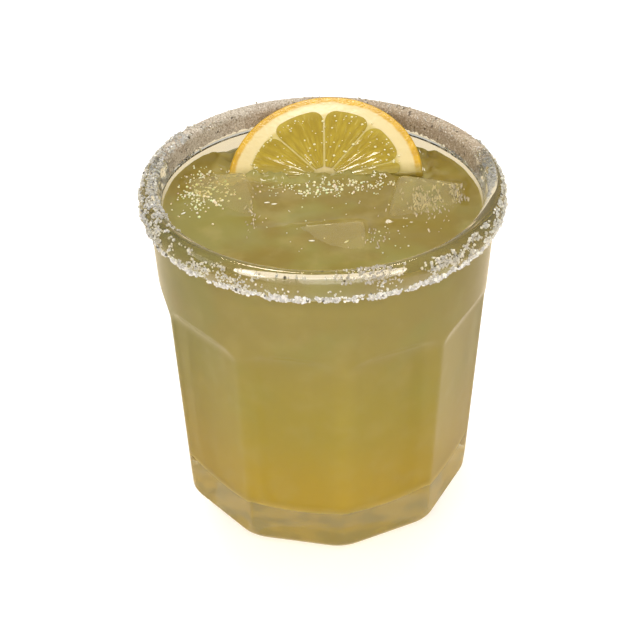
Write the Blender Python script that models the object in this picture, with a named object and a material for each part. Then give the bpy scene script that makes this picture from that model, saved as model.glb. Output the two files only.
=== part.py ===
"""A glass of iced lemonade: a ten-sided pressed tumbler with a crusted lip, the drink,
ice that just breaks its surface and half a lemon slice resting on the rim.

Metres, +Z up. The origin is the centre of the tumbler's flat base, and -Y is the front.
"""

import math
import random

import bmesh
import bpy
from mathutils import Euler, Matrix, Vector

MM = 0.001
GAP = 0.3 * MM
TURN_STEPS = 60
SHARP_ANGLE = math.radians(35)

# Tumbler, outside
GLASS_HEIGHT = 88.4 * MM
FACETS = 10
FACET_EDGE_ANGLE = math.radians(6.9)
FACET_EDGE_RADIUS_TOP = 41.2 * MM
FACET_EDGE_RADIUS_BASE = 39.0 * MM
FACET_TOP = 59.5 * MM
SCOOP_RADIUS = 3.25 * MM
SCOOP_STEPS = 8
HEEL_RADIUS = 2.5 * MM
HEEL_STEPS = 5
SHOULDER_RADIUS = 41.25 * MM
SHOULDER_STEPS = 4
CREASE_RADIUS = 42.1 * MM
CREASE_HEIGHT = 81.0 * MM

# Lip: a bead whose section is an upright ellipse outside and a smaller one inside
BEAD_CENTRE_RADIUS = 41.9 * MM
BEAD_OUTER_RADIUS = 44.2 * MM
BEAD_START_ANGLE = -80
BEAD_STEPS = 10
LIP_INNER_HEIGHT = 86.5 * MM
LIP_INNER_STEPS = 4

# Tumbler, inside
CAVITY_LIP_RADIUS = 39.6 * MM
CAVITY_LIP_SLOPE = 0.12
CAVITY_WAIST_RADIUS = 36.8 * MM
CAVITY_FOOT_RADIUS = 35.2 * MM
CAVITY_FOOT_HEIGHT = 15.0 * MM
FLOOR_HEIGHT = 9.3 * MM
FLOOR_FILLET = 5.5 * MM
FILLET_STEPS = 5
CAVITY_STEPS = 8

# Crust on the lip: rows by height angle on the bead's section, and crystals in each
CRUST_ROWS = ((-58, 68), (-28, 68), (4, 68))
CRYSTAL_SIZES = (1.2 * MM, 1.9 * MM)
CRYSTAL_PROUD = -0.05
CRYSTAL_SHIFT = 0.16
CRYSTAL_RISE = 6.0

# Bars that mill the flats reach past the blank on every side
CUTTER_RADIUS = 60.0 * MM
CUTTER_BELOW = 5.0 * MM
CUTTER_HALF_LENGTH = 30.0 * MM

# Drink
DRINK_LEVEL = 80.5 * MM

# Half slice of lemon: the middle of its straight cut edge, and how it lies
SLICE_CENTRE = Vector((0.6, 15.2, 79.1)) * MM
SLICE_RADIUS = 25.1 * MM
SLICE_THICKNESS = 4.4 * MM
SLICE_TILT = math.radians(28.6)
SLICE_ROLL = math.radians(4.8)
SLICE_ARC_STEPS = 28
SLICE_EDGE_ROUNDING = 0.7 * MM

# Ice: centre, size, and turn about X, Y and Z in degrees
ICE = {
    "ice_right": ((25.0, 0.5, 74.9), (17.5, 21.0, 13.0), (6, 4, -12)),
    "ice_left": ((-24.5, 3.0, 74.7), (16.0, 22.0, 13.0), (5, -4, 10)),
    "ice_front": ((-2.5, -19.0, 72.2), (28.0, 20.0, 17.0), (3, -2, 4)),
}
ICE_EDGE_ROUNDING = 2.0 * MM
ICE_WOBBLE = 0.035
ICE_CREASE_ANGLE = math.radians(30)

# Colours
GLASS_COLOUR = (0.80, 0.83, 0.76)
LEMONADE_COLOUR = (0.42, 0.33, 0.09)
LEMON_COLOUR = (0.72, 0.44, 0.05)
ICE_COLOUR = (0.62, 0.62, 0.50)


def clear_scene():
    for old in list(bpy.data.objects):
        bpy.data.objects.remove(old, do_unlink=True)


def finish(name, colour, roughness, transmission=0.0, ior=1.45):
    material = bpy.data.materials.new(name)
    material.use_nodes = True
    shader = material.node_tree.nodes["Principled BSDF"]
    shader.inputs["Base Color"].default_value = (*colour, 1.0)
    shader.inputs["Roughness"].default_value = roughness
    shader.inputs["Metallic"].default_value = 0.0
    shader.inputs["Transmission Weight"].default_value = transmission
    shader.inputs["IOR"].default_value = ior
    return material


def object_from(name, bm, material=None, collection=None):
    """Links a new object that takes the bmesh, with smooth faces and sharp edges kept."""
    bmesh.ops.recalc_face_normals(bm, faces=bm.faces[:])
    mesh = bpy.data.meshes.new(name)
    bm.to_mesh(mesh)
    bm.free()
    mesh.shade_smooth()
    mesh.set_sharp_from_angle(angle=SHARP_ANGLE)
    if material:
        mesh.materials.append(material)
    made = bpy.data.objects.new(name, mesh)
    (collection or bpy.context.scene.collection).objects.link(made)
    return made


def helper_collection(name):
    """A collection of cutters or of shapes to be joined, linked so that Booleans see them."""
    helpers = bpy.data.collections.new(name)
    bpy.context.scene.collection.children.link(helpers)
    helpers.hide_render = True
    return helpers


def combine(target, helpers, operation):
    """Applies one Boolean of the whole collection and removes the collection's objects."""
    for helper in helpers.objects:
        helper.hide_render = True
        helper.display_type = "WIRE"
    boolean = target.modifiers.new(helpers.name, "BOOLEAN")
    boolean.operation = operation
    boolean.operand_type = "COLLECTION"
    boolean.collection = helpers
    boolean.solver = "EXACT"
    graph = bpy.context.evaluated_depsgraph_get()
    joined = bpy.data.meshes.new_from_object(target.evaluated_get(graph))
    target.modifiers.clear()
    material = target.data.materials[0]
    target.data = joined
    joined.materials.clear()
    joined.materials.append(material)
    for helper in list(helpers.objects):
        bpy.data.objects.remove(helper, do_unlink=True)
    bpy.data.collections.remove(helpers)


def arc(centre, radii, start, end, steps):
    """Points (radius, height) along an upright ellipse's arc, angles in degrees."""
    points = []
    for step in range(steps + 1):
        angle = math.radians(start + (end - start) * step / steps)
        points.append(
            (centre[0] + radii[0] * math.cos(angle), centre[1] + radii[1] * math.sin(angle))
        )
    return points


def smooth_run(start, start_slope, end, end_slope, steps):
    """Points (radius, height) that rise from start to end with the slopes given, radius by height."""
    rise = end[1] - start[1]
    points = []
    for step in range(steps + 1):
        t = step / steps
        radius = (
            (2 * t**3 - 3 * t**2 + 1) * start[0]
            + (t**3 - 2 * t**2 + t) * start_slope * rise
            + (3 * t**2 - 2 * t**3) * end[0]
            + (t**3 - t**2) * end_slope * rise
        )
        points.append((radius, start[1] + rise * t))
    return points


def cavity_profile(inset, top=None):
    """The tumbler's inside from the floor's centre up, drawn in by inset, and cut off at top."""
    waist = (CAVITY_WAIST_RADIUS - inset, FACET_TOP)
    foot = (CAVITY_FOOT_RADIUS - inset, CAVITY_FOOT_HEIGHT)
    slope = (waist[0] - foot[0]) / (waist[1] - foot[1])
    floor = FLOOR_HEIGHT + inset
    fillet = FLOOR_FILLET - inset
    points = [(0.0, floor)]
    points += arc((foot[0] - fillet, floor + fillet), (fillet, fillet), -90, 0, FILLET_STEPS)
    lip = (CAVITY_LIP_RADIUS - inset, LIP_INNER_HEIGHT)
    upper = smooth_run(waist, slope, lip, CAVITY_LIP_SLOPE, CAVITY_STEPS)
    if top is None:
        return points + upper
    below = [point for point in upper if point[1] < top]
    low, high = below[-1], upper[len(below)]
    share = (top - low[1]) / (high[1] - low[1])
    edge = (low[0] + (high[0] - low[0]) * share, top)
    return points + below + [edge, (0.0, top)]


def turned(profile):
    """A closed bmesh from an outline (radius, height) that starts and ends on the axis."""
    bm = bmesh.new()
    sine, cosine = math.sin(FACET_EDGE_ANGLE), math.cos(FACET_EDGE_ANGLE)
    verts = [bm.verts.new((r * sine, -r * cosine, z)) for r, z in profile]
    edges = [bm.edges.new(pair) for pair in zip(verts, verts[1:])]
    bmesh.ops.spin(
        bm,
        geom=verts + edges,
        cent=(0, 0, 0),
        axis=(0, 0, 1),
        angle=2 * math.pi,
        steps=TURN_STEPS,
        use_merge=True,
    )
    bmesh.ops.remove_doubles(bm, verts=bm.verts[:], dist=0.001 * MM)
    return bm


def extruded(bm, verts, move):
    """Closes the verts into a face and pulls a solid out of it."""
    grown = bmesh.ops.extrude_face_region(bm, geom=[bm.faces.new(verts)])["geom"]
    moved = [item for item in grown if isinstance(item, bmesh.types.BMVert)]
    bmesh.ops.translate(bm, verts=moved, vec=move)


def facet_cutter(facet, cutters):
    """A straight bar that mills one flat, its rounded heel and the scooped end above it."""
    flat = math.cos(math.pi / FACETS)
    base, top = FACET_EDGE_RADIUS_BASE * flat, FACET_EDGE_RADIUS_TOP * flat
    outline = [(base - HEEL_RADIUS, -CUTTER_BELOW)]
    outline += arc((base - HEEL_RADIUS, HEEL_RADIUS), (HEEL_RADIUS, HEEL_RADIUS), -90, 0, HEEL_STEPS)
    scoop = (SCOOP_RADIUS, SCOOP_RADIUS)
    outline += arc((top + SCOOP_RADIUS, FACET_TOP), scoop, 180, 90, SCOOP_STEPS)
    outline += [(CUTTER_RADIUS, FACET_TOP + SCOOP_RADIUS), (CUTTER_RADIUS, -CUTTER_BELOW)]
    bm = bmesh.new()
    verts = [bm.verts.new((-CUTTER_HALF_LENGTH, -r, z)) for r, z in outline]
    extruded(bm, verts, (2 * CUTTER_HALF_LENGTH, 0, 0))
    middle = FACET_EDGE_ANGLE + (facet + 0.5) * 2 * math.pi / FACETS
    bmesh.ops.rotate(bm, verts=bm.verts[:], cent=(0, 0, 0), matrix=Matrix.Rotation(middle, 3, "Z"))
    object_from(f"facet_{facet}", bm, collection=cutters)


def crystal(name, angle, height_angle, size, turn, crystals):
    """A tilted cube half sunk in the bead, at an angle round the lip and one up its section."""
    outward = BEAD_OUTER_RADIUS - BEAD_CENTRE_RADIUS
    upward = (GLASS_HEIGHT - CREASE_HEIGHT) / 2
    across = BEAD_CENTRE_RADIUS + outward * math.cos(height_angle)
    height = CREASE_HEIGHT + upward * (1 + math.sin(height_angle))
    proud = CRYSTAL_PROUD * size
    across += proud * math.cos(height_angle)
    height += proud * math.sin(height_angle)
    place = Vector((across * math.sin(angle), -across * math.cos(angle), height))
    bm = bmesh.new()
    matrix = Matrix.Translation(place) @ turn.to_matrix().to_4x4()
    bmesh.ops.create_cube(bm, size=size, matrix=matrix)
    object_from(name, bm, collection=crystals)


def crust(crystals):
    """Rows of crystals all round, each row a third of a step on from the one below."""
    draw = random.Random(5)
    for row, (height_degrees, count) in enumerate(CRUST_ROWS):
        for place in range(count):
            share = (place + row / len(CRUST_ROWS) + draw.uniform(-CRYSTAL_SHIFT, CRYSTAL_SHIFT)) / count
            height_angle = math.radians(height_degrees + draw.uniform(-CRYSTAL_RISE, CRYSTAL_RISE))
            turn = Euler([draw.uniform(0, math.pi) for _ in range(3)])
            size = draw.triangular(*CRYSTAL_SIZES, CRYSTAL_SIZES[0])
            crystal(f"crystal_{row}_{place}", share * 2 * math.pi, height_angle, size, turn, crystals)


def make_glass():
    """The blank is turned, its flats are milled off, and the crust is joined to its lip."""
    middle = (CREASE_HEIGHT + GLASS_HEIGHT) / 2
    bead = (BEAD_OUTER_RADIUS - BEAD_CENTRE_RADIUS, (GLASS_HEIGHT - CREASE_HEIGHT) / 2)
    inner_lip = (BEAD_CENTRE_RADIUS - CAVITY_LIP_RADIUS, GLASS_HEIGHT - LIP_INNER_HEIGHT)
    flare = (CREASE_RADIUS - SHOULDER_RADIUS) / (CREASE_HEIGHT - FACET_TOP)
    shoulder, crease = (SHOULDER_RADIUS, FACET_TOP), (CREASE_RADIUS, CREASE_HEIGHT)
    outline = [(0.0, 0.0), (SHOULDER_RADIUS, 0.0)]
    outline += smooth_run(shoulder, flare, crease, flare, SHOULDER_STEPS)
    outline += arc((BEAD_CENTRE_RADIUS, middle), bead, BEAD_START_ANGLE, 90, BEAD_STEPS)
    outline += arc((BEAD_CENTRE_RADIUS, LIP_INNER_HEIGHT), inner_lip, 90, 180, LIP_INNER_STEPS)[1:]
    outline += cavity_profile(0.0)[::-1][1:]
    material = finish("pressed_glass", GLASS_COLOUR, 0.03, transmission=1.0, ior=1.52)
    glass = object_from("glass", turned(outline), material)
    cutters = helper_collection("facet_cutters")
    for facet in range(FACETS):
        facet_cutter(facet, cutters)
    combine(glass, cutters, "DIFFERENCE")
    crystals = helper_collection("crystals")
    crust(crystals)
    combine(glass, crystals, "UNION")
    glass.data.shade_smooth()
    glass.data.set_sharp_from_angle(angle=SHARP_ANGLE)


def slice_bmesh(grow=0.0):
    """Half a round slice, its cut edge at the front, laid back on the rim; grow swells it."""
    radius = SLICE_RADIUS + grow
    bm = bmesh.new()
    verts = []
    for step in range(SLICE_ARC_STEPS + 1):
        angle = math.pi * step / SLICE_ARC_STEPS
        verts.append(bm.verts.new((radius * math.cos(angle), radius * math.sin(angle) - grow, grow)))
    extruded(bm, verts, (0, 0, -SLICE_THICKNESS - 2 * grow))
    bmesh.ops.recalc_face_normals(bm, faces=bm.faces[:])
    rims = [edge for edge in bm.edges if abs(edge.verts[0].co.z - edge.verts[1].co.z) < GAP]
    bmesh.ops.bevel(
        bm,
        geom=rims,
        offset=SLICE_EDGE_ROUNDING,
        affect="EDGES",
        segments=2,
        profile=0.5,
        material=-1,
    )
    lie = Matrix.Rotation(SLICE_TILT, 4, "X") @ Matrix.Rotation(-SLICE_ROLL, 4, "Y")
    bmesh.ops.transform(bm, verts=bm.verts[:], matrix=Matrix.Translation(SLICE_CENTRE) @ lie)
    return bm


def ice_bmesh(name, grow=0.0):
    """A block with softened edges and slightly uneven faces; grow swells it."""
    centre, size, turns = ICE[name]
    draw = random.Random(name)
    bm = bmesh.new()
    bmesh.ops.create_cube(bm, size=1.0)
    for vert in bm.verts:
        wobble = Vector([1 + draw.uniform(-ICE_WOBBLE, ICE_WOBBLE) for _ in range(3)])
        vert.co = Vector([c * w * (s * MM + 2 * grow) for c, w, s in zip(vert.co, wobble, size)])
    bmesh.ops.triangulate(bm, faces=bm.faces[:])
    bmesh.ops.bevel(
        bm,
        geom=[edge for edge in bm.edges if edge.calc_face_angle() > ICE_CREASE_ANGLE],
        offset=ICE_EDGE_ROUNDING + grow,
        affect="EDGES",
        segments=3,
        profile=0.5,
        material=-1,
    )
    turn = Euler([math.radians(angle) for angle in turns]).to_matrix().to_4x4()
    matrix = Matrix.Translation(Vector(centre) * MM) @ turn
    bmesh.ops.transform(bm, verts=bm.verts[:], matrix=matrix)
    return bm


def make_lemonade():
    """The drink fills the tumbler up to its level and leaves room for the slice and the ice."""
    material = finish("cloudy_lemonade", LEMONADE_COLOUR, 0.12)
    lemonade = object_from("lemonade", turned(cavity_profile(GAP, DRINK_LEVEL)), material)
    hollows = helper_collection("hollows")
    object_from("slice_hollow", slice_bmesh(GAP), collection=hollows)
    for name in ICE:
        object_from(f"{name}_hollow", ice_bmesh(name, GAP), collection=hollows)
    combine(lemonade, hollows, "DIFFERENCE")


def make_garnish_and_ice():
    object_from("lemon_slice", slice_bmesh(), finish("lemon", LEMON_COLOUR, 0.35))
    for name in ICE:
        material = finish(f"{name}_clear", ICE_COLOUR, 0.08, transmission=0.6, ior=1.31)
        object_from(name, ice_bmesh(name), material)


clear_scene()
make_glass()
make_lemonade()
make_garnish_and_ice()
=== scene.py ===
# %% [markdown]
# # A glass of iced lemonade
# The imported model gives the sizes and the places. This script gives the looks: clear
# pressed glass, a cloudy drink, wet ice, a lemon slice and a crust of crystals.
# Everything is in metres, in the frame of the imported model: the origin is the centre of
# the glass's base, and -Y is the side that the photo shows.

# %% The frame
import math
import random

import bmesh
import bpy
import numpy as np
from mathutils import Euler, Matrix, Vector, noise
from mathutils.bvhtree import BVHTree


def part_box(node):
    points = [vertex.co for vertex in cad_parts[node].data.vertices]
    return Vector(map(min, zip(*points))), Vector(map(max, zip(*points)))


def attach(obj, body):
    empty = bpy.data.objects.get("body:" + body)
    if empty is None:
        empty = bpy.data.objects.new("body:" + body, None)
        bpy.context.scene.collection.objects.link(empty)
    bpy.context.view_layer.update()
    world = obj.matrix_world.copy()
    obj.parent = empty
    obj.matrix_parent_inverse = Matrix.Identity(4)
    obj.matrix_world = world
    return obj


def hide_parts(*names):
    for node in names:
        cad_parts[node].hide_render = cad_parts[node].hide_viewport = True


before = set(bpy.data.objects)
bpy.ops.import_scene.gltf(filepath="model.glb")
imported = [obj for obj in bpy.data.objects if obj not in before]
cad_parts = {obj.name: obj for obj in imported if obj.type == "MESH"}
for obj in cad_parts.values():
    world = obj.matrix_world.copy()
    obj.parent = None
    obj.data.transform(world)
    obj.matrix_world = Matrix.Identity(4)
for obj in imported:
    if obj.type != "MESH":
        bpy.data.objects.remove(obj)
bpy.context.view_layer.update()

MM = 0.001
GLASS_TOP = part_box("glass")[1].z
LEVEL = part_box("lemonade")[1].z
print("glass top", round(GLASS_TOP / MM, 1), "mm, drink level", round(LEVEL / MM, 1), "mm")


# %% [markdown]
# ## Camera
# The photo looks down at the glass at 36 degrees from about 35 cm, a little rolled. The
# camera aims at the middle of the glass, and a small shift puts the glass where the
# photo has it.

# %% Camera
VIEW_DISTANCE = 0.345
VIEW_ELEVATION = math.radians(36.0)
VIEW_ROLL = math.radians(-0.56)
LENS = 74.36
SHIFT = (-0.0056, 0.0059)


def add_camera():
    data = bpy.data.cameras.new("camera")
    data.lens = LENS
    data.shift_x, data.shift_y = SHIFT
    data.clip_start, data.clip_end = 0.01, 20.0
    camera = bpy.data.objects.new("camera", data)
    bpy.context.scene.collection.objects.link(camera)
    aim = Vector((0, 0, GLASS_TOP / 2))
    back = Vector((0, -math.cos(VIEW_ELEVATION), math.sin(VIEW_ELEVATION)))
    camera.location = aim + back * VIEW_DISTANCE
    turn = (-back).to_track_quat("-Z", "Y").to_matrix() @ Matrix.Rotation(VIEW_ROLL, 3, "Z")
    camera.rotation_euler = turn.to_euler()
    bpy.context.scene.camera = camera
    return camera


print("camera at", [round(x, 3) for x in add_camera().location])


# %% [markdown]
# ## Shader maths as plain expressions
# A material is a tree of nodes. Writing each Math node by hand hides the idea, so one
# small class wraps a socket: `1 - mask * 0.4` adds the nodes for it. Everything that
# isn't plain arithmetic comes from one method, `node`.

# %% A value in a shader
class Value:
    """An output socket. Arithmetic on it adds Math nodes to its material."""

    def __init__(self, paint, link):
        self.paint = paint
        self.link = link

    def math(self, operation, *values):
        return self.paint.node("ShaderNodeMath", {"operation": operation}, dict(enumerate(values)))

    def __add__(self, other):
        return self.math("ADD", self, other)

    def __sub__(self, other):
        return self.math("SUBTRACT", self, other)

    def __rsub__(self, other):
        return self.math("SUBTRACT", other, self)

    def __mul__(self, other):
        return self.math("MULTIPLY", self, other)

    def __pow__(self, other):
        return self.math("POWER", self, other)

    __radd__ = __add__
    __rmul__ = __mul__

    def between(self, low, high):
        """0 below low, 1 above high and a smooth rise between, or a fall if high is lower."""
        if high < low:
            return 1 - self.between(high, low)
        settings = {"interpolation_type": "SMOOTHSTEP"}
        return self.paint.node("ShaderNodeMapRange", settings, {0: self, 1: low, 2: high})


# %% A material
# How far red, green and blue light spread under a surface, as shares of its Subsurface Scale
SCATTER_RADIUS = (1.0, 0.85, 0.5)
# Outputs of the nodes, by number
OBJECT_PLACE = 3
RAYS = {"camera": 0, "shadow": 1, "glossy": 3, "transmission": 6}


class Paint:
    """A material with a Principled shader, and the means to feed it."""

    def __init__(self, name, **constants):
        self.material = bpy.data.materials.new(name)
        self.material.use_nodes = True
        self.tree = self.material.node_tree
        self.shader = self.tree.nodes["Principled BSDF"]
        self.surface = self.tree.nodes["Material Output"].inputs["Surface"]
        self.shader.inputs["Subsurface Radius"].default_value = SCATTER_RADIUS
        for socket, value in constants.items():
            self.shader.inputs[socket.replace("_", " ")].default_value = value

    def node(self, kind, settings=None, sockets=None, output=0):
        made = self.tree.nodes.new(kind)
        for name, value in (settings or {}).items():
            setattr(made, name, value)
        for key, value in (sockets or {}).items():
            self.feed(made.inputs[key], value)
        return Value(self, made.outputs[output])

    def feed(self, socket, value):
        if isinstance(value, Value):
            self.tree.links.new(value.link, socket)
        else:
            socket.default_value = value

    def set(self, **sockets):
        """Feeds the Principled shader: underscores stand for spaces in a socket's name."""
        for name, value in sockets.items():
            self.feed(self.shader.inputs[name.replace("_", " ")], value)

    def place(self):
        """The surface point in millimetres."""
        point = self.node("ShaderNodeTexCoord", output=OBJECT_PLACE)
        sockets = {"Vector": point, "Scale": 1.0 / MM}
        return self.node("ShaderNodeVectorMath", {"operation": "SCALE"}, sockets)

    def split(self, vector):
        """The x, y and z of a vector."""
        first = self.node("ShaderNodeSeparateXYZ", sockets={0: vector})
        return [Value(self, socket) for socket in first.link.node.outputs]

    def mottle(self, size, detail=2.0, vector=None, roughness=0.5):
        """Soft noise from 0 to 1 with lumps about size millimetres across."""
        where = vector or self.place()
        sockets = {"Vector": where, "Scale": 1.0 / size, "Detail": detail, "Roughness": roughness}
        return self.node("ShaderNodeTexNoise", sockets=sockets)

    def mix(self, share, first, second):
        """first where share is 0 and second where it is 1, as colours."""
        # A Mix node has its colours in sockets 6 and 7, and the mixed colour in output 2
        sockets = {0: share, 6: first, 7: second}
        return self.node("ShaderNodeMix", {"data_type": "RGBA"}, sockets, output=2)

    def bump(self, height, depth, strength):
        """A normal from a height of 0 to 1 that stands for depth in metres."""
        sockets = {"Height": height, "Distance": depth, "Strength": strength}
        return self.node("ShaderNodeBump", sockets=sockets)

    def ray(self, kind):
        """1 for rays of this kind and 0 for all others."""
        return self.node("ShaderNodeLightPath", output=RAYS[kind])

    def lets_lamps_through(self, tint):
        """Light from lamps passes this clear surface, tinted, and is not stopped by it."""
        through = self.node("ShaderNodeBsdfTransparent", sockets={0: tint})
        solid = Value(self, self.shader.outputs[0])
        sockets = {0: self.ray("shadow"), 1: solid, 2: through}
        mixed = self.node("ShaderNodeMixShader", sockets=sockets)
        self.tree.links.new(mixed.link, self.surface)


def colour(red, green, blue):
    """A colour as it looks on screen, 0 to 255, as the shader's linear colour."""
    linear = []
    for part in (red, green, blue):
        bright = ((part / 255 + 0.055) / 1.055) ** 2.4
        linear.append(bright if part > 10 else part / 255 / 12.92)
    return (*linear, 1.0)


print("a screen's middle grey is", round(colour(128, 128, 128)[0], 3), "in a shader")


# %% [markdown]
# ## From bmesh to a piece
# Every piece ends the same way: its faces turn outwards and are shaded smooth up to a
# sharp angle, it takes a material, it rides on the one body, and it may stand for a node
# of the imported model.

# %% Making a piece
SHARP = math.radians(40)


def piece(name, bm, paint, node=None, sharp=SHARP):
    bmesh.ops.recalc_face_normals(bm, faces=bm.faces[:])
    mesh = bpy.data.meshes.new(name)
    bm.to_mesh(mesh)
    bm.free()
    return dress(name, mesh, paint, node, sharp)


def dress(name, mesh, paint, node=None, sharp=SHARP):
    mesh.shade_smooth()
    if sharp:
        mesh.set_sharp_from_angle(angle=sharp)
    mesh.materials.append(paint.material)
    made = bpy.data.objects.new(name, mesh)
    bpy.context.scene.collection.objects.link(made)
    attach(made, "root")
    if node:
        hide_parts(node)
    print(name, len(mesh.vertices), "points", len(mesh.polygons), "faces")
    return made


# %% [markdown]
# ## The tumbler's section
# The tumbler is turned glass with ten pressed flats. Its section is the same as in the
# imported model: a straight shoulder, a bead for a lip, and a round inside that narrows to
# a thick floor. The outline is built from arcs and one smooth run, radius by height.

# %% Sizes of the tumbler
STEPS_ROUND = 240
MERGE = 0.002 * MM
FACETS = 10
FACET_TURN = 2 * math.pi / FACETS
FACET_EDGE_ANGLE = math.radians(6.9)
FLAT_RADIUS_TOP = 41.13 * MM * math.cos(FACET_TURN / 2)
FLAT_RADIUS_BASE = 39.0 * MM * math.cos(FACET_TURN / 2)
FACET_TOP = 57.7 * MM
SCOOP = 10.0 * MM
HEEL = 2.5 * MM
SHOULDER_RADIUS = 41.25 * MM
SHOULDER_FOOT = 59.5 * MM
CREASE = (42.1 * MM, 81.0 * MM)
BEAD_RADIUS = 41.9 * MM
BEAD_MIDDLE = (CREASE[1] + GLASS_TOP) / 2
BEAD_HALF = (2.3 * MM, (GLASS_TOP - CREASE[1]) / 2)
BEAD_START = -82
LIP = (39.6 * MM, 86.5 * MM)
LIP_SLOPE = 0.12
WAIST = (36.8 * MM, SHOULDER_FOOT)
FOOT = (35.2 * MM, 15.0 * MM)
FLOOR = 9.3 * MM
FILLET = 5.5 * MM
flat_width = FLAT_RADIUS_BASE * 2 * math.tan(FACET_TURN / 2)
print("each flat is", round(flat_width / MM, 1), "mm wide at the foot")


# %% Arcs and runs
def arc(centre, radii, start, end, steps):
    points = []
    for step in range(steps + 1):
        angle = math.radians(start + (end - start) * step / steps)
        across, up = radii[0] * math.cos(angle), radii[1] * math.sin(angle)
        points.append((centre[0] + across, centre[1] + up))
    return points


def run(start, start_slope, end, end_slope, steps):
    """Points (radius, height) with the given slopes of radius by height at the two ends."""
    rise = end[1] - start[1]
    points = []
    for t in np.linspace(0, 1, steps + 1):
        radius = (2 * t**3 - 3 * t**2 + 1) * start[0] + (t**3 - 2 * t**2 + t) * start_slope * rise
        radius += (3 * t**2 - 2 * t**3) * end[0] + (t**3 - t**2) * end_slope * rise
        points.append((float(radius), float(start[1] + rise * t)))
    return points


def inside(grow=0.0):
    """The inside from the floor's edge up to the lip, pushed out into the glass by grow."""
    slope = (WAIST[0] - FOOT[0]) / (WAIST[1] - FOOT[1])
    fillet = FILLET + grow
    points = arc((FOOT[0] - FILLET, FLOOR + FILLET), (fillet, fillet), -90, 0, 10)
    points += run((WAIST[0] + grow, WAIST[1]), slope, (LIP[0] + grow, LIP[1]), LIP_SLOPE, 22)
    return points


def radius_inside(z):
    """How wide the inside is at a height."""
    points = inside()
    for (r0, z0), (r1, z1) in zip(points, points[1:]):
        if z0 <= z <= z1:
            return r0 + (r1 - r0) * (z - z0) / max(z1 - z0, 1e-9)
    return points[-1][0]


print("inside at the drink's level", round(radius_inside(LEVEL) / MM, 2), "mm")


# %% [markdown]
# ## The pressed flats
# A mould presses ten flats into the blank, with a rounded heel below and a scooped end
# above that meets the round shoulder in an arch. The scoop is a little longer than the
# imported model's, so that the arches rise as they do in the photo. Flats could be cut off
# with a plane each, but that leaves hard edges, so each point of the turned wall moves in
# to the nearest flat instead. A soft minimum in place of a hard one gives the
# fire-polished edges, which catch the light and are roundest at the foot. The points are
# first slid towards the edges between the flats, where the shape turns and needs them.

# %% Flats, edges and arches
EDGE_SOFTNESS = 0.7 * MM
FOOT_SOFTNESS = 2.6 * MM
FOOT_REACH = 5.0 * MM
ARCH_SOFTNESS = 0.35 * MM
ARCH_FOOT = 0.9 * FACET_TOP
CROWDING = 1.7


def flat_distance(z):
    """How far a flat lies from the axis at a height."""
    if z < HEEL:
        return FLAT_RADIUS_BASE - HEEL + math.sqrt(HEEL**2 - (HEEL - z) ** 2)
    if z < FACET_TOP:
        return FLAT_RADIUS_BASE + (FLAT_RADIUS_TOP - FLAT_RADIUS_BASE) * (z - HEEL) / (FACET_TOP - HEEL)
    climb = min(z - FACET_TOP, SCOOP)
    return FLAT_RADIUS_TOP + SCOOP - math.sqrt(SCOOP**2 - climb**2)


def soft_min(first, second, softness):
    """The smaller of two sizes, with the corner where they cross rounded off."""
    near = max(softness - abs(first - second), 0) / softness
    return min(first, second) - near * near * softness / 4


def facet_angle(x, y):
    """How far round the axis this point is from the middle of its flat."""
    angle = math.atan2(x, -y) - FACET_EDGE_ANGLE
    return angle % FACET_TURN - FACET_TURN / 2


def press(vert):
    """Moves a point of the turned wall in to the flats."""
    x, y, z = vert.co
    radius = math.hypot(x, y)
    off = abs(facet_angle(x, y))
    distance = flat_distance(z)
    softness = EDGE_SOFTNESS + FOOT_SOFTNESS * max(1 - z / FOOT_REACH, 0) ** 2
    pressed = soft_min(distance / math.cos(off), distance / math.cos(FACET_TURN - off), softness)
    wanted = min(radius, pressed)
    if z > ARCH_FOOT:
        wanted = soft_min(radius, pressed, ARCH_SOFTNESS)
    vert.co.x *= wanted / radius
    vert.co.y *= wanted / radius


def crowd_to_edges(vert):
    """Slides a point round the axis, towards the nearest edge between two flats."""
    x, y, _ = vert.co
    radius = math.hypot(x, y)
    off = facet_angle(x, y)
    share = min(abs(off) / (FACET_TURN / 2), 1.0)
    crowded = 1 - (1 - share) ** CROWDING
    turn = math.copysign(crowded * FACET_TURN / 2, off) - off
    angle = math.atan2(x, -y) + turn
    vert.co.x = radius * math.sin(angle)
    vert.co.y = -radius * math.cos(angle)


def spun(bm, outline):
    """Turns an outline (radius, height) round the axis."""
    sine, cosine = math.sin(FACET_EDGE_ANGLE), math.cos(FACET_EDGE_ANGLE)
    verts = [bm.verts.new((r * sine, -r * cosine, z)) for r, z in outline]
    edges = [bm.edges.new(pair) for pair in zip(verts, verts[1:])]
    bmesh.ops.spin(
        bm,
        geom=verts + edges,
        cent=(0, 0, 0),
        axis=(0, 0, 1),
        angle=2 * math.pi,
        steps=STEPS_ROUND,
        use_merge=True,
    )


def heights(low, high, steps):
    """Evenly spaced values from low to high."""
    return [low + (high - low) * step / steps for step in range(steps + 1)]


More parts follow.
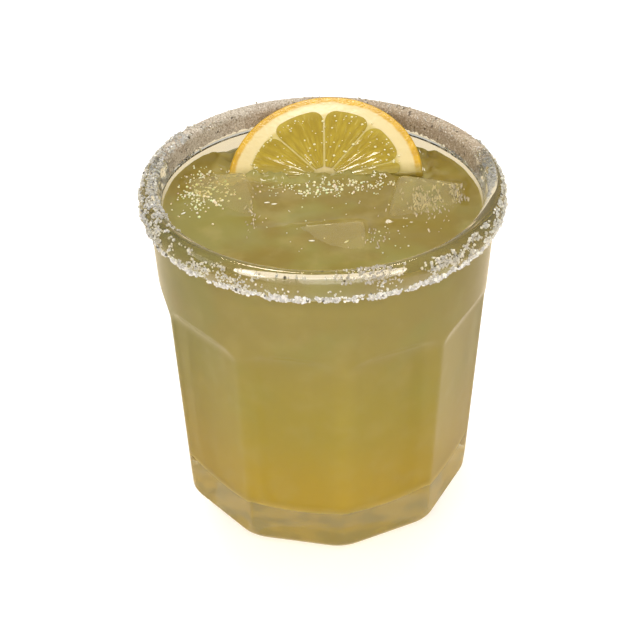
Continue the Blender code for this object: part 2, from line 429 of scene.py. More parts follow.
# %% The tumbler's mesh
def tumbler_mesh():
    bm = bmesh.new()
    wall = [HEEL * (1 - math.cos(math.radians(a))) for a in range(0, 91, 10)]
    wall += heights(HEEL, FACET_TOP - 2 * MM, 10)[1:]
    wall += heights(FACET_TOP - 2 * MM, FACET_TOP + SCOOP, 54)[1:]
    outline = [(SHOULDER_RADIUS * share, 0.0) for share in (0, 0.3, 0.6, 0.8)]
    flare = (CREASE[0] - SHOULDER_RADIUS) / (CREASE[1] - SHOULDER_FOOT)
    outline += [(SHOULDER_RADIUS + max(z - SHOULDER_FOOT, 0) * flare, z) for z in wall]
    top = outline[-1]
    outline += run(top, flare, CREASE, flare, 10)[1:]
    bead = arc((BEAD_RADIUS, BEAD_MIDDLE), BEAD_HALF, BEAD_START, 90, 30)
    bead += arc((BEAD_RADIUS, LIP[1]), (BEAD_RADIUS - LIP[0], GLASS_TOP - LIP[1]), 90, 180, 14)[1:]
    spun(bm, outline + bead)
    floor = [(FOOT[0] * share, FLOOR) for share in (0, 0.3, 0.6)]
    spun(bm, floor + inside())
    bmesh.ops.remove_doubles(bm, verts=bm.verts[:], dist=MERGE)
    for vert in bm.verts:
        crowd_to_edges(vert)
        if math.hypot(vert.co.x, vert.co.y) > 1 * MM and vert.co.z < FACET_TOP + SCOOP:
            press(vert)
    return bm


# %% [markdown]
# ## Clear pressed glass
# Clear glass is a Principled shader with full transmission. Pressed glass is never quite
# even, so a faint, long bump bends what is seen through it. A path tracer finds lamps
# through curved glass only by luck, so rays that look for a lamp pass straight through,
# with a little of the glass's own tint.

# %% Glass
def pressed_glass():
    paint = Paint("pressed_glass", Transmission_Weight=1.0, IOR=1.49, Roughness=0.0)
    waves = paint.mottle(9.0, detail=1.0) * 0.7 + paint.mottle(2.5, detail=0.0) * 0.3
    paint.set(Base_Color=(0.93, 0.94, 0.89, 1.0), Normal=paint.bump(waves, 0.10 * MM, 0.5))
    paint.lets_lamps_through((0.93, 0.94, 0.90, 1.0))
    return paint


piece("tumbler", tumbler_mesh(), pressed_glass(), "glass")


# %% [markdown]
# ## Where the slice lies
# The slice is modelled flat about the middle of its cut edge, and then laid in place:
# tilted back on the rim and rolled a little. The same move serves every part of it, and
# the drink needs it too, because the liquid wets the slice's lower edge.

# %% The slice's place
SLICE_CENTRE = Vector((0.6, 15.2, 79.1)) * MM
SLICE_RADIUS = 25.03 * MM
SLICE_THICKNESS = 4.4 * MM
SLICE_TILT = math.radians(28.6)
SLICE_ROLL = math.radians(4.8)
SLICE_LIE = Matrix.Rotation(SLICE_TILT, 4, "X") @ Matrix.Rotation(-SLICE_ROLL, 4, "Y")
SLICE_PLACE = Matrix.Translation(SLICE_CENTRE) @ SLICE_LIE
print("the slice's top is at", round((SLICE_PLACE @ Vector((0, SLICE_RADIUS, 0))).z / MM, 1), "mm")


# %% [markdown]
# ## The drink's surface
# Still liquid isn't flat at its edges: it climbs the wall and the ice in a small curved
# rim. The surface starts as a turned disc of fine rings, and a function of the place
# gives each point its height. At the slice it is drawn down a little, most at the ends
# of the peel, and laps over the cut edge unevenly, so that the slice's wet edge shows.

# %% How high the surface is
CLIMB = 0.8 * MM
CLIMB_WIDTH = 1.2 * MM
DIP = 1.5 * MM
DIP_SPAN = 10 * MM
DIP_WIDTH = 5.0 * MM
END_DIP = 1.2 * MM
END_REACH = 3.0 * MM
LAP = 0.9 * MM
LAP_LENGTH = 2.6 * MM


def outline_tree(node):
    """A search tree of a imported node's surface."""
    bm = bmesh.new()
    bm.from_mesh(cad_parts[node].data)
    tree = BVHTree.FromBMesh(bm)
    bm.free()
    return tree


ICE_NODES = ("ice_right", "ice_left", "ice_front")
ICE_TREES = [outline_tree(node) for node in ICE_NODES]


def dip_at_slice(x, y):
    """How far the surface is drawn down near the slice's cut edge."""
    flat = SLICE_PLACE.inverted() @ Vector((x, y, LEVEL))
    outside = max(abs(flat.x) - SLICE_RADIUS, -flat.y, 0)
    lap = LAP * noise.noise(Vector((x, y, 9)) / LAP_LENGTH)
    dip = DIP * (0.55 - 0.45 * math.tanh(x / DIP_SPAN))
    dip += END_DIP * math.exp(-(((abs(flat.x) - SLICE_RADIUS) / END_REACH) ** 2))
    return (dip + lap) * math.exp(-((outside / DIP_WIDTH) ** 2))


def surface_height(x, y):
    """The surface's height with its rims, its dip at the slice and its ripples."""
    to_wall = max(radius_inside(LEVEL) - math.hypot(x, y), 0)
    to_ice = min(tree.find_nearest(Vector((x, y, LEVEL)))[3] for tree in ICE_TREES)
    height = LEVEL - dip_at_slice(x, y)
    height += CLIMB * math.exp(-to_wall / CLIMB_WIDTH) + 0.8 * CLIMB * math.exp(-to_ice / CLIMB_WIDTH)
    long_ripple = noise.noise(Vector((x, y, 0)) / (8 * MM)) * 0.3
    short_ripple = noise.noise(Vector((x, y, 5)) / (3 * MM)) * 0.1
    return height + (long_ripple + short_ripple) * MM


print("the surface in the middle is at", round(surface_height(0, 0) / MM, 2), "mm")


# %% The drink's mesh
SINK = 0.15 * MM
RINGS = 80
RING_CROWDING = 1.15


def lemonade_mesh():
    bm = bmesh.new()
    wall = [point for point in inside(SINK) if point[1] < LEVEL - 0.2 * MM]
    edge = radius_inside(LEVEL) + SINK
    outline = [(0.0, FLOOR - SINK), (FOOT[0] * 0.4, FLOOR - SINK)] + wall + [(edge, LEVEL)]
    for step in range(1, RINGS + 1):
        outline.append((edge * (1 - (step / RINGS) ** RING_CROWDING), LEVEL))
    spun(bm, outline)
    bmesh.ops.remove_doubles(bm, verts=bm.verts[:], dist=MERGE)
    for vert in bm.verts:
        if vert.co.z > LEVEL - 0.01 * MM:
            vert.co.z = surface_height(vert.co.x, vert.co.y)
    return bm


# %% [markdown]
# ## Cloudy lemonade
# Lemon pulp and sugar make the drink cloudy, so it scatters light just under its
# surface. The photo has it olive at the top and golden near the floor, with greener and
# browner clouds. The colour follows the height, and the clouds are soft noise. Part of
# the lamps' light passes through, golden, and lights the table. Light that has worked
# its way down through the drink comes out of its underside into the thick base, which a
# surface shader can't know, so the underside glows a little by itself.

# %% Lemonade
DRINK_TOP = colour(153, 138, 72)
DRINK_MIDDLE = colour(164, 147, 54)
DRINK_LOW = colour(182, 154, 46)
DRINK_GREEN = colour(142, 144, 76)
DRINK_PALE = colour(182, 165, 104)
DRINK_SURFACE = colour(130, 112, 44)
DRINK_GLOW = (0.22, 0.17, 0.055, 1.0)
DRINK_GLOW_GREEN = (0.12, 0.115, 0.05, 1.0)
NO_GLOW = (0, 0, 0, 1)


def cloudy_lemonade():
    paint = Paint(
        "cloudy_lemonade",
        Roughness=0.05,
        IOR=1.34,
        Subsurface_Weight=0.35,
        Subsurface_Scale=0.006,
        Emission_Strength=1.0,
    )
    _, _, height = paint.split(paint.place())
    tint = paint.mix(height.between(12, 45), DRINK_LOW, DRINK_MIDDLE)
    tint = paint.mix(height.between(40, 72), tint, DRINK_TOP)
    tint = paint.mix(height.between(79.0, 79.8), tint, DRINK_SURFACE)
    clouds = paint.mottle(20.0, detail=2.0).between(0.42, 0.6) * height.between(25, 66) * 0.4
    wisps = paint.mottle(7.0, detail=4.0).between(0.45, 0.75) * 0.2
    tint = paint.mix(clouds, tint, DRINK_GREEN)
    tint = paint.mix(wisps, tint, DRINK_PALE)
    patches = paint.mottle(9.0, detail=1.0).between(0.42, 0.6)
    glow = paint.mix(patches, DRINK_GLOW, DRINK_GLOW_GREEN)
    glow = paint.mix(height.between(14.0, 9.4), NO_GLOW, glow)
    paint.set(Base_Color=tint, Emission_Color=glow)
    paint.lets_lamps_through((0.58, 0.50, 0.32, 1.0))
    return paint


piece("lemonade_drink", lemonade_mesh(), cloudy_lemonade(), "lemonade")


# %% [markdown]
# ## The lemon slice
# From the outside in, a slice has thin zest, thick white pith, and segments of pulp that
# thin membranes part. The body is a softened half disc whose colour follows the radius.
# A UV map keeps each point's flat place, so that the colours know where they are after
# the slice is tilted. Its cut edge lies under the drink, so near it the colours fade.

# %% Flat places and the fade into the drink
def keep_flat_place(bm):
    """Stores each point's flat place on the slice as a UV map, in centimetres."""
    layer = bm.loops.layers.uv.new("flat")
    for face in bm.faces:
        for loop in face.loops:
            loop[layer].uv = (loop.vert.co.x * 100, loop.vert.co.y * 100)


def flat_place(paint):
    """Across, along and the distance from the slice's middle, in millimetres."""
    across, along, _ = paint.split(paint.node("ShaderNodeUVMap", {"uv_map": "flat"}))
    return across * 10, along * 10, (across * across + along * along) ** 0.5 * 10


def under_drink(paint, tint):
    """Colours sink into the cloudy drink towards the cut edge, deeper on the left."""
    across, along, _ = flat_place(paint)
    edge = along + across * 0.04 + (paint.mottle(3.5, detail=3.0) - 0.5) * 3.0
    return paint.mix(edge.between(4.6, 0.8) * 0.85, tint, colour(150, 134, 62))


def half_disc(radius, top, bottom, rounding, steps=96):
    """Half a round slab with a softened rim, its cut edge along X."""
    bm = bmesh.new()
    verts = []
    for step in range(steps + 1):
        angle = math.pi * step / steps
        verts.append(bm.verts.new((radius * math.cos(angle), radius * math.sin(angle), top)))
    grown = bmesh.ops.extrude_face_region(bm, geom=[bm.faces.new(verts)])["geom"]
    lowered = [item for item in grown if isinstance(item, bmesh.types.BMVert)]
    bmesh.ops.translate(bm, verts=lowered, vec=(0, 0, bottom - top))
    bmesh.ops.recalc_face_normals(bm, faces=bm.faces[:])
    rims = [edge for edge in bm.edges if abs(edge.verts[0].co.z - edge.verts[1].co.z) < 0.1 * MM]
    bmesh.ops.bevel(bm, geom=rims, offset=rounding, affect="EDGES", segments=4, profile=0.5, material=-1)
    return bm


# %% Peel, pith and membranes
def lemon_peel():
    paint = Paint("lemon_peel", Roughness=0.28, Subsurface_Weight=0.25, Subsurface_Scale=0.003)
    _, _, radius = flat_place(paint)
    uneven = radius + (paint.mottle(5.0, detail=3.0) - 0.5) * 1.4
    spots = paint.mottle(3.0, detail=3.0).between(0.35, 0.7)
    zest = paint.mix(spots, colour(206, 163, 14), colour(188, 144, 6))
    tint = paint.mix(uneven.between(18.8, 20.0), colour(190, 170, 88), colour(213, 194, 138))
    tint = paint.mix(uneven.between(4.2, 3.2), tint, colour(208, 188, 134))
    tint = paint.mix(uneven.between(22.7, 23.4), tint, zest)
    relief = paint.mottle(0.7, detail=2.0) * radius.between(22, 24) + paint.mottle(1.6) * 0.5
    paint.set(Base_Color=under_drink(paint, tint), Normal=paint.bump(relief, 0.2 * MM, 0.7))
    return paint


bm = half_disc(SLICE_RADIUS, 0.0, -SLICE_THICKNESS, 0.7 * MM)
keep_flat_place(bm)
bmesh.ops.transform(bm, verts=bm.verts[:], matrix=SLICE_PLACE)
piece("slice_peel", bm, lemon_peel(), "lemon_slice")


# %% [markdown]
# ## Pulp
# Each segment is a wedge with rounded outer corners, a hair proud of the membranes. Its
# juice sacs are long drops that point at the middle: stretched cells in polar
# coordinates give them a colour and a relief. The two segments at the cut edge are thin,
# so they stop further from the middle than the others.

# %% Pulp
SEGMENTS = (
    # from, to (degrees from straight up the slice), outer radius in millimetres
    (-90.0, -83.0, 19.0),
    (-83.0, -43.0, 19.3),
    (-43.0, 0.0, 20.5),
    (0.0, 38.5, 20.4),
    (38.5, 78.0, 19.9),
    (78.0, 90.0, 19.4),
)
MEMBRANE = 0.28 * MM
CORNER = 3.2 * MM
PROUD = 0.12 * MM
SUNK = 0.5 * MM
POINT = 3.4 * MM
THIN_POINT = 1.5 * MM
# A segment that spans fewer radians than this is thin
THIN_SEGMENT = 0.3


def lemon_pulp():
    paint = Paint("lemon_pulp", Roughness=0.1, Subsurface_Weight=0.3, Subsurface_Scale=0.003)
    across, along, radius = flat_place(paint)
    angle = paint.node("ShaderNodeMath", {"operation": "ARCTAN2"}, {0: across, 1: along})
    polar = paint.node("ShaderNodeCombineXYZ", sockets={0: angle * 11, 1: radius * 0.16, 2: 0.0})
    sacs = paint.node("ShaderNodeTexVoronoi", {"feature": "F1"}, {"Vector": polar, "Scale": 1.2})
    threads = paint.mottle(0.45, detail=3.0, vector=polar)
    tint = paint.mix(sacs.between(0.15, 0.75), colour(170, 146, 34), colour(154, 130, 24))
    tint = paint.mix(threads.between(0.55, 0.8) * 0.5, tint, colour(204, 186, 104))
    tint = paint.mix(radius.between(17.5, 20.5) * 0.35, tint, colour(190, 168, 76))
    paint.set(Base_Color=under_drink(paint, tint), Normal=paint.bump(sacs, 0.35 * MM, 0.4))
    return paint


def wedge(bm, start, end, outer):
    """Adds one segment between two angles in degrees from straight up the slice."""
    low, high = math.radians(start), math.radians(end)
    spread = (high - low) * outer - 2 * MEMBRANE
    corner = min(CORNER, spread / 2.2)
    verts = []
    steps = 40
    for step in range(steps + 1):
        along = MEMBRANE + spread * step / steps
        to_side = min(along - MEMBRANE, spread + MEMBRANE - along)
        drop = min(1 - min(to_side / corner, 1), 1)
        radius = outer - corner * (1 - math.sqrt(1 - drop * drop))
        angle = low + along / outer
        verts.append(bm.verts.new((radius * math.sin(angle), radius * math.cos(angle), -SUNK)))
    narrowest = THIN_POINT / (high - low) if high - low < THIN_SEGMENT else POINT
    for side, shift in ((high, -MEMBRANE / narrowest), (low, MEMBRANE / narrowest)):
        angle = side + shift
        verts.append(bm.verts.new((narrowest * math.sin(angle), narrowest * math.cos(angle), -SUNK)))
    grown = bmesh.ops.extrude_face_region(bm, geom=[bm.faces.new(verts)])["geom"]
    raised = [item for item in grown if isinstance(item, bmesh.types.BMVert)]
    bmesh.ops.translate(bm, verts=raised, vec=(0, 0, SUNK + PROUD))


bm = bmesh.new()
for start, end, outer in SEGMENTS:
    wedge(bm, start, end, outer * MM)
keep_flat_place(bm)
bmesh.ops.transform(bm, verts=bm.verts[:], matrix=SLICE_PLACE)
piece("slice_pulp", bm, lemon_pulp())


# %% [markdown]
# ## Ice
# Blocks that have begun to melt: soft edges and uneven faces. They start as copies of the
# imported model's blocks, which are cut finer and smoothed. They are clear, so they mostly
# show the drink, and frost inside them gives a few pale streaks.

# %% Ice blocks
ICE_SMOOTHING = 3


def wet_ice():
    paint = Paint("wet_ice", Transmission_Weight=0.85, IOR=1.25, Roughness=0.04)
    across, along, _ = paint.split(paint.place())
    streaks = paint.node("ShaderNodeCombineXYZ", sockets={0: across, 1: along * 0.35, 2: 0.0})
    frost = paint.mottle(3.0, detail=5.0, vector=streaks, roughness=0.7).between(0.55, 0.75)
    share = frost * (across.between(10, 22) * 0.75 + 0.15)
    paint.set(
        Base_Color=paint.mix(share, colour(226, 218, 170), colour(236, 226, 200)),
        Normal=paint.bump(paint.mottle(3.5, detail=3.0), 0.4 * MM, 0.6),
    )
    paint.lets_lamps_through((0.9, 0.88, 0.75, 1.0))
    return paint


def make_ice(node, paint):
    bm = bmesh.new()
    bm.from_mesh(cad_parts[node].data)
    bmesh.ops.remove_doubles(bm, verts=bm.verts[:], dist=0.01 * MM)
    bmesh.ops.subdivide_edges(bm, edges=bm.edges[:], cuts=2, use_grid_fill=True, smooth=0.3)
    for _ in range(ICE_SMOOTHING):
        bmesh.ops.smooth_vert(
            bm, verts=bm.verts[:], factor=0.5, use_axis_x=True, use_axis_y=True, use_axis_z=True
        )
    return piece(node.replace("ice", "ice_block"), bm, paint, node, sharp=None)


ICE_PAINT = wet_ice()
for ice_node in ICE_NODES:
    make_ice(ice_node, ICE_PAINT)


# %% [markdown]
# ## Many small things in one mesh
# Crystals, bubbles and droplets come in hundreds or thousands. A few template shapes are
# made with bmesh, and numpy places a turned and sized copy of one at each point and
# joins all of them into a single mesh, with a tone for each copy.

# %% Scattering
class Scatter:
    """Collects copies of small shapes and joins them into one piece."""

    def __init__(self, shapes, seed):
        self.shapes = shapes
        self.draw = random.Random(seed)
        self.points, self.corners, self.tones, self.count = [], [], [], 0

    def add(self, place, size, tone, turn=None, stretch=(1, 1, 1)):
        points, corners = self.draw.choice(self.shapes)
        if turn is None:
            turn = Euler([self.draw.uniform(0, 2 * math.pi) for _ in range(3)])
        moved = (points * np.array(stretch) * size) @ np.array(turn.to_matrix()).T
        self.points.append(moved + np.array(place))
        self.corners.append(corners + self.count)
        self.tones.append(np.tile((*tone[:3], 1.0), (len(points), 1)))
        self.count += len(points)

    def finish(self, name, paint, sharp=None):
        mesh = bpy.data.meshes.new(name)
        points, corners = np.concatenate(self.points), np.concatenate(self.corners)
        mesh.from_pydata(points.tolist(), [], corners.tolist())
        tone = mesh.color_attributes.new("tone", "FLOAT_COLOR", "POINT")
        tone.data.foreach_set("color", np.concatenate(self.tones).ravel())
        return dress(name, mesh, paint, sharp=sharp)


def as_arrays(bm):
    bmesh.ops.triangulate(bm, faces=bm.faces[:])
    points = np.array([vert.co[:] for vert in bm.verts])
    corners = np.array([[vert.index for vert in face.verts] for face in bm.faces])
    bm.free()
    return points, corners


def crystal_shapes(count, draw):
    """Uneven little blocks, one unit across."""
    shapes = []
    for _ in range(count):
        bm = bmesh.new()
        bmesh.ops.create_cube(bm, size=1.0)
        for vert in bm.verts:
            vert.co *= draw.uniform(0.7, 1.1)
            vert.co.z *= 0.75
        shapes.append(as_arrays(bm))
    return shapes


def bead_shapes():
    bm = bmesh.new()
    bmesh.ops.create_icosphere(bm, subdivisions=1, radius=0.5)
    return [as_arrays(bm)]


def toned(paint, grain):
    """The copy's tone, which for bubbles and droplets holds their painted highlight, with a little dirt
    of the given grain size in it.
    """
    tone = paint.node("ShaderNodeAttribute", {"attribute_name": "tone"})
    return paint.mix(paint.mottle(grain, detail=2.0) * 0.25, tone, colour(160, 148, 122))


# %% [markdown]
# ## The crust on the lip
# The wet lip was dipped in coarse crystals. They make an irregular, nearly closed band
# low on the outside of the bead, reach over the lip at the two sides, more on the left,
# and leave the front and the back of it thinly covered. Thousands of small tilted blocks
# give the crust its sparkle, which a bumpy skin can't. Each band below is a range round
# the lip and up its section, with a number of grains, their sizes and their tone. Noise
# opens gaps and makes clumps.

# %% Crust
CRUST_BANDS = (
    # from, to (round the lip), low, high (up its section), grains, sizes, tone, gaps
    (-126, 126, -70, -24, 7200, (0.2, 0.85), (236, 230, 220), 0.3),
    (-126, 126, -34, 12, 1500, (0.2, 0.55), (222, 216, 200), 0.75),
    (124, 236, -36, 14, 2700, (0.25, 0.85), (222, 214, 200), 0.35),
    (-128, -58, -45, 150, 3000, (0.22, 0.75), (206, 202, 192), 0.4),
    (-60, -22, -25, 60, 620, (0.25, 0.7), (210, 202, 184), 0.45),
    (6, 21, 15, 100, 230, (0.25, 0.6), (200, 190, 174), 0.1),
    (33, 52, -20, 60, 460, (0.3, 0.75), (214, 206, 190), 0.25),
    (58, 118, -30, 60, 1900, (0.25, 0.75), (206, 202, 190), 0.45),
    (104, 246, 70, 165, 900, (0.2, 0.5), (214, 204, 186), 0.5),
)
CRUST_SEED = 11
CRYSTAL_SHAPES = 14
CRYSTAL_SEED = 3
DARK_SHARE = 0.02
DARK_SHADE = 0.3
BAND_FRAY = 3.0
MOST_PROUD = 0.45 * MM


def lip_point(angle, height_angle, out):
    """A point on the lip at an angle round it and one up its section, out from the glass."""
    cosine, sine = math.cos(height_angle), math.sin(height_angle)
    if cosine >= 0:
        radius = BEAD_RADIUS + (BEAD_HALF[0] + out) * cosine
        height = BEAD_MIDDLE + (BEAD_HALF[1] + out) * sine
    else:
        radius = BEAD_RADIUS + (BEAD_RADIUS - LIP[0] + out) * cosine
        height = LIP[1] + (GLASS_TOP - LIP[1] + out) * sine
    return Vector((radius * math.sin(angle), -radius * math.cos(angle), height))


def crystals_paint():
    paint = Paint("crystals", Roughness=0.2, IOR=1.5, Subsurface_Weight=0.4, Subsurface_Scale=0.001)
    paint.set(Base_Color=toned(paint, 0.9))
    return paint


def make_crust():
    crust = Scatter(crystal_shapes(CRYSTAL_SHAPES, random.Random(CRYSTAL_SEED)), CRUST_SEED)
    draw = crust.draw
    for start, end, low, high, grains, sizes, tone, gaps in CRUST_BANDS:
        for _ in range(grains):
            angle = math.radians(draw.uniform(start, end) + draw.gauss(0, BAND_FRAY))
            height_angle = math.radians(draw.uniform(low, high))
            around = Vector((math.sin(angle) * 13, math.cos(angle) * 13, height_angle * 1.6))
            clump = noise.noise(around) + 0.5 * noise.noise(around * 2.7)
            if clump < gaps * draw.uniform(0.2, 1.6) - 0.35:
                continue
            size = draw.triangular(*sizes, sizes[0]) * MM
            shade = draw.uniform(0.8, 1.08)
            if draw.random() < DARK_SHARE:
                shade = DARK_SHADE
            out = min(size * draw.uniform(-0.15, 0.35) + max(clump, 0) * 0.35 * MM, MOST_PROUD)
            grain_tone = colour(*[min(part * shade, 250) for part in tone])
            crust.add(lip_point(angle, height_angle, out), size, grain_tone)
    return crust.finish("lip_crystals", crystals_paint(), math.radians(20))


make_crust()


# %% [markdown]
# ## Fine sugar on the back of the lip
# Behind, only the finest grains stuck, and they lie like damp sand on the top and the
# inside of the lip. Grains that small are a finish, not a shape: the lip's own section
# is spun over that stretch as a thin skin, whose colour and relief are speckled. Its
# edges are ragged, which the alpha gives.

# %% Fine sugar
SUGAR_ARC = (98, 256)
SUGAR_RISE = (58, 180)
SUGAR_FOOT = 82.6 * MM
SUGAR_PROUD = 0.07 * MM
SUGAR_THICKNESS = 0.06 * MM


def fine_sugar():
    paint = Paint("fine_sugar", Roughness=0.6, IOR=1.5)
    across, along, height = paint.split(paint.place())
    speckle = paint.mottle(0.45, detail=3.0, roughness=0.7)
    patches = paint.mottle(5.0, detail=3.0)
    # The right is painted darker and browner: painted shade and warm reflected light from the
    # surroundings
    tint = paint.mix(across.between(-18, 18), colour(190, 179, 162), colour(172, 154, 128))
    tint = paint.mix(patches.between(0.4, 0.65) * 0.5, tint, colour(160, 142, 122))
    tint = paint.mix(speckle.between(0.5, 0.62) * 0.8, tint, colour(134, 118, 96))
    tint = paint.mix(speckle.between(0.46, 0.36) * 0.8, tint, colour(224, 214, 198))
    tint = paint.mix(paint.mottle(1.6, detail=2.0).between(0.64, 0.7) * 0.8, tint, colour(70, 58, 44))
    ends = paint.node("ShaderNodeMath", {"operation": "ARCTAN2"}, {0: across, 1: along})
    ends = ends.math("ABSOLUTE", ends) + (patches - 0.5) * 0.5
    low = height + (paint.mottle(1.2, detail=3.0) - 0.5) * 1.6
    paint.set(
        Base_Color=tint,
        Alpha=ends.between(1.42, 1.2) * low.between(83.5, 83.8),
        Normal=paint.bump(speckle, 0.25 * MM, 0.8),
    )
    return paint


def make_sugar():
    start, end = (math.radians(angle) for angle in SUGAR_ARC)
    bm = bmesh.new()
    rise = [math.radians(angle) for angle in heights(*SUGAR_RISE, 24)]
    verts = [bm.verts.new(lip_point(start, angle, SUGAR_PROUD)) for angle in rise]
    for z in heights(LIP[1], SUGAR_FOOT, 10)[1:]:
        radius = radius_inside(z) - SUGAR_PROUD
        verts.append(bm.verts.new((radius * math.sin(start), -radius * math.cos(start), z)))
    edges = [bm.edges.new(pair) for pair in zip(verts, verts[1:])]
    bmesh.ops.spin(
        bm,
        geom=verts + edges,
        cent=(0, 0, 0),
        axis=(0, 0, 1),
        angle=end - start,
        steps=140,
        use_merge=False,
    )
    bmesh.ops.recalc_face_normals(bm, faces=bm.faces[:])
    bmesh.ops.solidify(bm, geom=bm.faces[:], thickness=SUGAR_THICKNESS)
    return piece("lip_sugar", bm, fine_sugar(), sharp=None)


make_sugar()


# %% [markdown]
# ## Foam and droplets
# Bubbles gather where the stirring left them: in a patch on the left and along the
# slice's wet edge. Droplets sit on the pulp, and pale flecks lie in the tops of the ice.
# All are tiny beads that catch the lamps, scattered round a few middles because the
# photo shows them in drifts. Bubbles and droplets are also painted near white, a painted
# highlight for glints too small to show, and a few stretched white beads on the surface
# are painted highlights on its ripples.

# %% Foam
def bubble_paint(name):
    paint = Paint(name, Roughness=0.12, IOR=1.4, Subsurface_Weight=0.3, Subsurface_Scale=0.001)
    paint.set(Base_Color=toned(paint, 0.6))
    return paint


FOAM_PATCHES = (
    # middle x, y, spread x, y, number, sizes
    (-29.0, 8.5, 4.0, 6.0, 200, (0.3, 1.0)),
    (-32.5, 0.0, 2.5, 3.5, 40, (0.3, 0.8)),
    (-9.0, 9.0, 3.0, 3.0, 30, (0.3, 0.9)),
    (2.0, 7.5, 5.0, 2.4, 110, (0.3, 0.95)),
    (12.0, 9.0, 4.0, 2.2, 55, (0.3, 0.8)),
    (16.0, -15.0, 3.0, 4.0, 22, (0.25, 0.6)),
    (0.0, -5.0, 16.0, 12.0, 50, (0.25, 0.5)),
)
FOAM_SEED = 23
# Pale foam, near white because the highlights on the tiny bubbles are painted into their colour
FOAM_AND_HIGHLIGHT_TONE = (240, 232, 190)
CLUMPS = 14
CLUMP_MIDDLE = (-29.0, 8.0)
CLUMP_SPREAD = (3.2, 5.0)
CLUMP_SIZES = (0.8, 1.5)
# Painted highlights on the surface's ripples, made as stretched white beads
LONG_GLINTS = (
    # x, y, turn in degrees
    (-33.7, -3.9, 40),
    (-5.4, 5.1, -20),
    (-13.6, 0.6, 10),
    (-11.8, 0.0, 10),
    (-2.6, -18.0, 0),
    (5.5, -18.1, 50),
)


def make_foam():
    foam = Scatter(bead_shapes(), FOAM_SEED)
    draw = foam.draw
    for middle_x, middle_y, spread_x, spread_y, number, sizes in FOAM_PATCHES:
        for _ in range(number):
            x = draw.gauss(middle_x, spread_x) * MM
            y = draw.gauss(middle_y, spread_y) * MM
            if math.hypot(x, y) > radius_inside(LEVEL) - 1 * MM:
                continue
            if (SLICE_PLACE.inverted() @ Vector((x, y, LEVEL))).y > -0.5 * MM and abs(x) < SLICE_RADIUS:
                continue
            size = draw.triangular(*sizes, sizes[0]) * MM
            tone = colour(*[part + draw.uniform(-15, 10) for part in FOAM_AND_HIGHLIGHT_TONE])
            foam.add((x, y, surface_height(x, y) + 0.1 * size), size, tone)
    # Clumps of foam, painted near white for the highlights on them
    for _ in range(CLUMPS):
        x = draw.gauss(CLUMP_MIDDLE[0], CLUMP_SPREAD[0]) * MM
        y = draw.gauss(CLUMP_MIDDLE[1], CLUMP_SPREAD[1]) * MM
        size = draw.uniform(*CLUMP_SIZES) * MM
        foam.add((x, y, surface_height(x, y)), size, colour(236, 230, 196), None, (1.3, 0.8, 0.5))
    # White stretched beads: painted highlights on ripples, not bubbles
    for x, y, turn in LONG_GLINTS:
        place = (x * MM, y * MM, surface_height(x * MM, y * MM))
        lie = Euler((0, 0, math.radians(turn)))
        foam.add(place, 0.7 * MM, colour(255, 250, 225), lie, (2.4, 0.9, 0.5))
    return foam.finish("foam_and_painted_highlights", bubble_paint("foam"))


# %% Droplets
DROPLETS = 120
DROPLET_SEED = 5


def make_droplets():
    wet = Scatter(bead_shapes(), DROPLET_SEED)
    draw = wet.draw
    for _ in range(DROPLETS):
        angle = math.radians(draw.uniform(-80, 84))
        radius = draw.uniform(5, 19.5) * MM if draw.random() < 0.6 else draw.uniform(17, 20) * MM
        flat = Vector((radius * math.sin(angle), radius * math.cos(angle), PROUD))
        if flat.y < 2.5 * MM:
            continue
        size = draw.triangular(0.25, 0.8, 0.25) * MM
        # Near white: the highlights on droplets too small to catch the lamps are painted into their
        # colour
        wet.add(SLICE_PLACE @ flat, size, colour(246, 236, 180), SLICE_LIE.to_euler(), (1.2, 1.0, 0.5))
    return wet.finish("slice_droplets", bubble_paint("droplets"))


# %% Flecks in the ice
FLECK_SEED = 31
FLECK_TONE = (204, 184, 146)
CRACK_PATCHES = (
    # middle x, y, spread x, y, number
    (25.0, -1.5, 2.3, 3.4, 230),
    (33.5, 2.5, 1.3, 2.4, 90),
    (-17.0, -6.0, 0.7, 5.0, 34),
    (13.0, -14.0, 1.5, 5.0, 26),
)


def ice_top(x, y):
    """The height of the ice at a place, or 0 beside it."""
    hits = [tree.ray_cast(Vector((x, y, 0.1)), Vector((0, 0, -1)))[0] for tree in ICE_TREES]
    return max((hit.z for hit in hits if hit is not None), default=0.0)


def make_cracks():
    """Pale flecks in the tops of the blocks, where the ice is cracked and full of air."""
    flecks = Scatter(bead_shapes(), FLECK_SEED)
    draw = flecks.draw
    for middle_x, middle_y, spread_x, spread_y, number in CRACK_PATCHES:
        for _ in range(number):
            x = draw.gauss(middle_x, spread_x) * MM
            y = draw.gauss(middle_y, spread_y) * MM
            if math.hypot(x, y) > radius_inside(LEVEL) - 2 * MM:
                continue
            place = (x, y, max(ice_top(x, y), surface_height(x, y)) - 0.05 * MM)
            size = draw.triangular(0.3, 0.9, 0.4) * MM
            turn = Euler((0, 0, math.radians(draw.gauss(84, 9))))
            shade = draw.uniform(0.85, 1.08)
            tone = colour(*[part * shade for part in FLECK_TONE])
            flecks.add(place, size, tone, turn, (draw.uniform(1.5, 4.5), 0.8, 0.25))
    return flecks.finish("ice_cracks", bubble_paint("cracks"))


make_foam()
make_droplets()
make_cracks()


# %% [markdown]
# ## Floor, light and air
# A plain pale floor, which the camera sees almost white, as in the photo. In the glass
# and through it the floor looks warmer, as a wooden table would, which draws the clear
# rim against the pale ground. Two small windows high up behind give the wet and glassy
# things their glints, a big soft lamp fills the front and a small one the left, and the
# air is bright and even.

# %% Studio
def link_lamp(name, data, place):
    lamp = bpy.data.objects.new(name, data)
    bpy.context.scene.collection.objects.link(lamp)
    lamp.location = place
    aim = Vector((0, 0, 0.05)) - Vector(place)
    lamp.rotation_euler = aim.to_track_quat("-Z", "Y").to_euler()


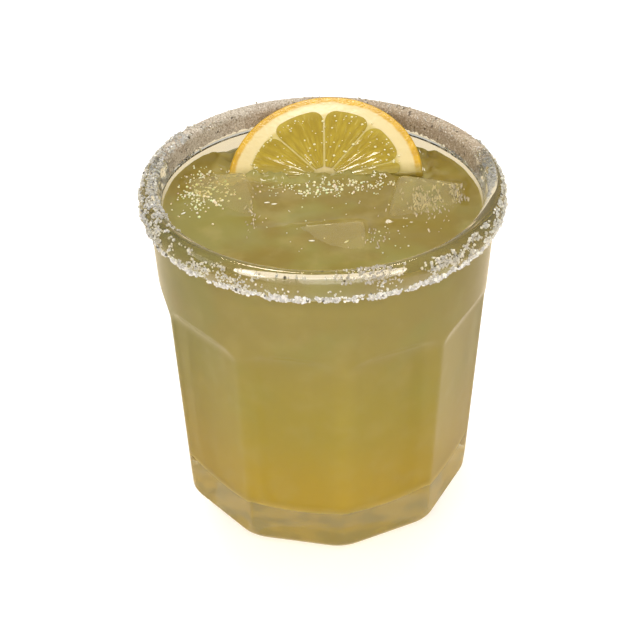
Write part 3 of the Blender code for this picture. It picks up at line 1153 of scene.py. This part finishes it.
def add_window(name, place, width, height, radiance, tint):
    """A rectangle of light. A lamp is set in watts, which follow from how bright it looks."""
    data = bpy.data.lights.new(name, "AREA")
    data.shape = "RECTANGLE"
    data.size, data.size_y = width, height
    data.energy = radiance * math.pi * width * height
    data.color = tint
    link_lamp(name, data, place)


PALE_FLOOR = (0.92, 0.91, 0.89, 1.0)
WARM_FLOOR = (0.74, 0.64, 0.48, 1.0)
FLOOR_LIFT = (0.20, 0.22, 0.26, 1.0)


def add_floor():
    bm = bmesh.new()
    bmesh.ops.create_grid(bm, x_segments=1, y_segments=1, size=3.0)
    mesh = bpy.data.meshes.new("floor")
    bm.to_mesh(mesh)
    bm.free()
    paint = Paint("pale_floor", Roughness=0.9, Emission_Strength=1.0)
    mirrored = paint.ray("glossy")
    seen_in_glass = mirrored.math("MAXIMUM", mirrored, paint.ray("transmission"))
    paint.set(
        Base_Color=paint.mix(seen_in_glass, PALE_FLOOR, WARM_FLOOR),
        Emission_Color=paint.mix(paint.ray("camera"), NO_GLOW, FLOOR_LIFT),
    )
    mesh.materials.append(paint.material)
    floor = bpy.data.objects.new("floor", mesh)
    floor.location.z = -0.05 * MM
    bpy.context.scene.collection.objects.link(floor)


def add_air():
    world = bpy.data.worlds.new("air")
    bpy.context.scene.world = world
    world.use_nodes = True
    background = world.node_tree.nodes["Background"]
    background.inputs["Color"].default_value = (1.0, 0.98, 0.95, 1.0)
    background.inputs["Strength"].default_value = 0.75


WARM_LIGHT = (1.0, 0.95, 0.88)
SOFT_LIGHT = (1.0, 0.98, 0.95)
add_floor()
add_window("left window", (-0.17, 0.45, 1.0), 0.2, 0.3, 20, WARM_LIGHT)
add_window("right window", (0.17, 0.45, 1.0), 0.1, 0.3, 20, WARM_LIGHT)
add_window("front fill", (0.15, -1.1, 0.6), 0.9, 0.9, 3.15, SOFT_LIGHT)
add_window("left fill", (-1.0, -0.35, 0.4), 0.5, 0.5, 1.6, SOFT_LIGHT)
add_air()
bpy.context.scene.view_settings.view_transform = "Standard"
